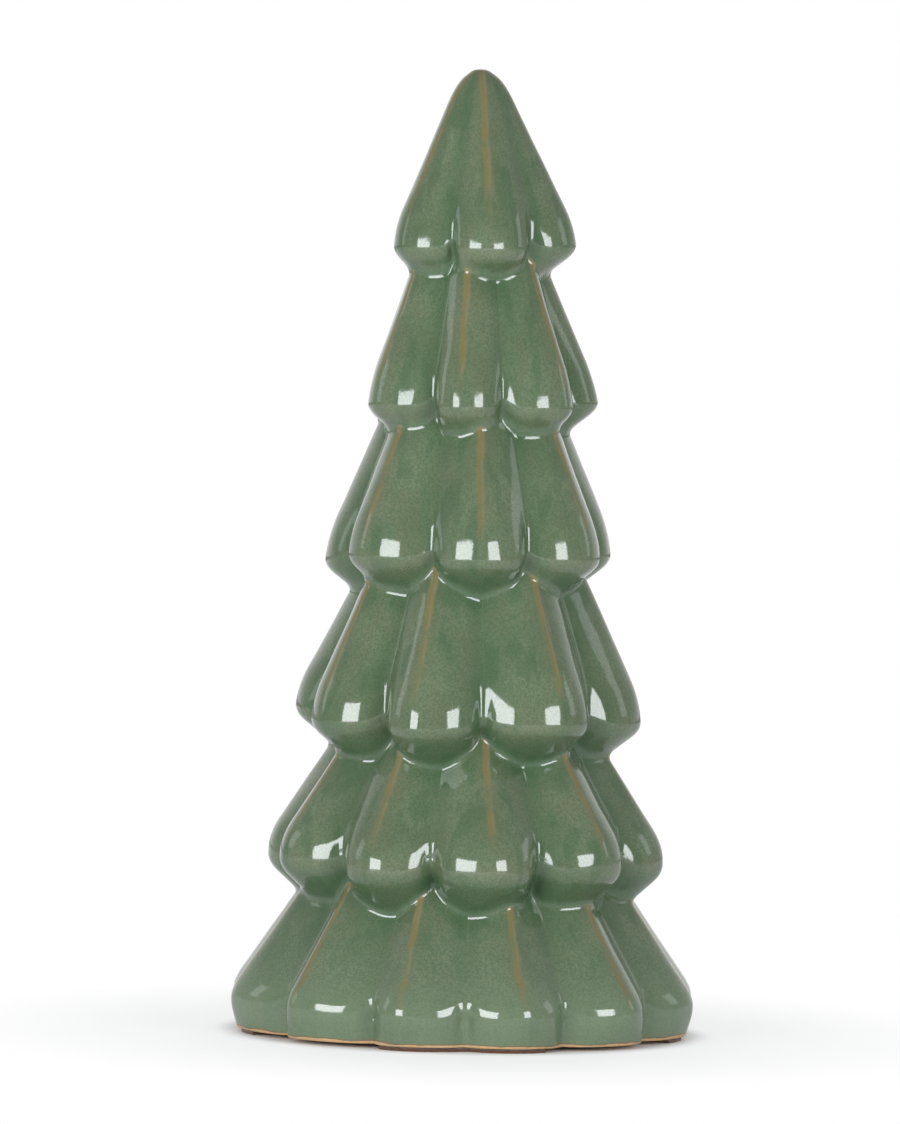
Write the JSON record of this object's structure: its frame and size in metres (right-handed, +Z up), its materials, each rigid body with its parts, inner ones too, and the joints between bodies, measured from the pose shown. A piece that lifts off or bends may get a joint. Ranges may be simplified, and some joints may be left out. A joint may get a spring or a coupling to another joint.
{
  "type": "decorative christmas tree",
  "caption": "Free-standing glazed ceramic Christmas tree: stacked tiers of rounded boughs in glossy mottled green, a bare clay foot rim and felt strips under it",
  "frame": {"origin": "on the table, under the middle of the tree's foot", "axes": "+Z up through the tip, -Y to the tree's front as pictured, +X to its right in the picture"},
  "size_m": [0.1194, 0.1193, 0.25],
  "materials": {
    "green_glaze": "gloss",
    "brown_felt": "matte"
  },
  "bodies": {
    "root": {"tier_6_skirt": "green_glaze", "tier_5_boughs": "green_glaze", "tier_4_boughs": "green_glaze", "tier_3_boughs": "green_glaze", "tier_2_boughs": "green_glaze", "tier_1_crown": "green_glaze", "felt_pad_1": "brown_felt", "felt_pad_2": "brown_felt", "felt_pad_3": "brown_felt", "felt_pad_4": "brown_felt"}
  },
  "joints": []
}
